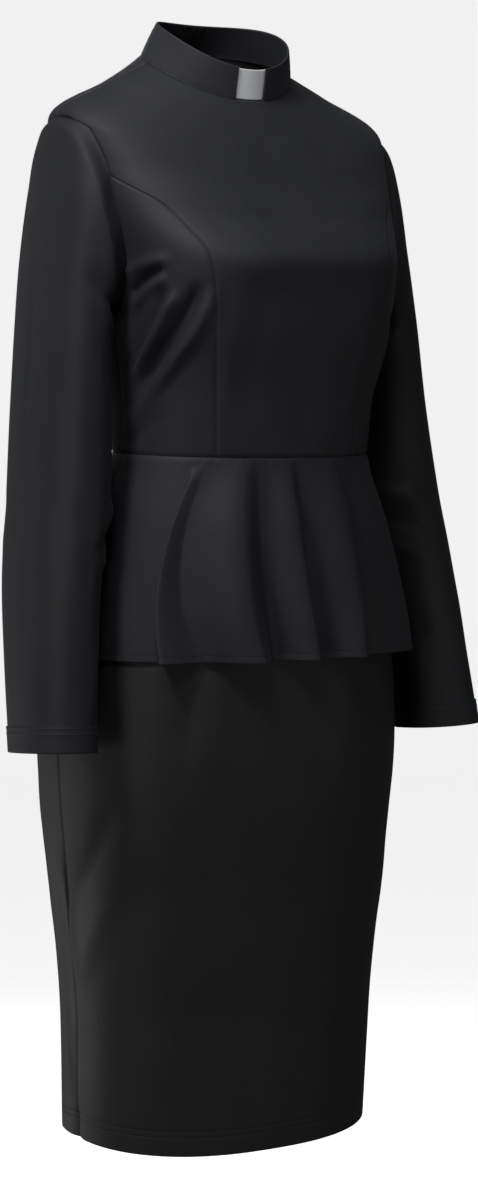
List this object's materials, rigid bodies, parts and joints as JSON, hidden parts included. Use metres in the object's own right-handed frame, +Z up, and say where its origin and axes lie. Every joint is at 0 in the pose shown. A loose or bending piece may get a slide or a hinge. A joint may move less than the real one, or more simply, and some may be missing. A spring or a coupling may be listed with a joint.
{
  "type": "clergy dress",
  "caption": "Worn-form clergy dress: stand collar with a white tab, long sleeves, princess-seamed bodice, flared peplum and slim knee-length skirt.",
  "frame": {"origin": "middle of the neck, at the height where the collar and the shoulder seams meet: where the wearer's shoulders hold the dress", "axes": "+Z up, -Y the way the wearer faces, +X the wearer's left"},
  "size_m": [0.5316, 0.3404, 1.1375],
  "materials": {
    "bodice_cloth": "charcoal ponte knit, soft satin sheen",
    "sleeve_cloth": "charcoal ponte knit, soft satin sheen",
    "peplum_cloth": "charcoal ponte knit, soft satin sheen",
    "skirt_cloth": "near-black ponte knit",
    "collar_cloth": "near-black ponte knit over stiffening",
    "white_tab": "white, smooth, semi-matt",
    "zip_tape": "black woven tape",
    "dark_zip_metal": "dark lacquered zip metal"
  },
  "bodies": {
    "garment": {"bodice_front": "bodice_cloth", "bodice_side_right": "bodice_cloth", "bodice_side_left": "bodice_cloth", "bodice_back_right": "bodice_cloth", "bodice_back_left": "bodice_cloth", "sleeve_right": "sleeve_cloth", "sleeve_left": "sleeve_cloth", "collar_right": "collar_cloth", "collar_left": "collar_cloth", "collar_tab": "white_tab", "peplum_front": "peplum_cloth", "peplum_back_left": "peplum_cloth", "peplum_back_right": "peplum_cloth", "skirt_front": "skirt_cloth", "skirt_back_left": "skirt_cloth", "skirt_back_right": "skirt_cloth", "zip_tape_right": "zip_tape", "zip_tape_left": "zip_tape", "zip_slider": "dark_zip_metal"},
    "zip_pull": {"zip_pull": "dark_zip_metal"}
  },
  "joints": [
    {"name": "zip_pull_swing", "type": "hinge", "parent": "garment", "child": "zip_pull", "pos_m": [0, 0.05145, 0.04459], "axis": [1, 0, 0], "range_deg": [0, 150]}
  ]
}
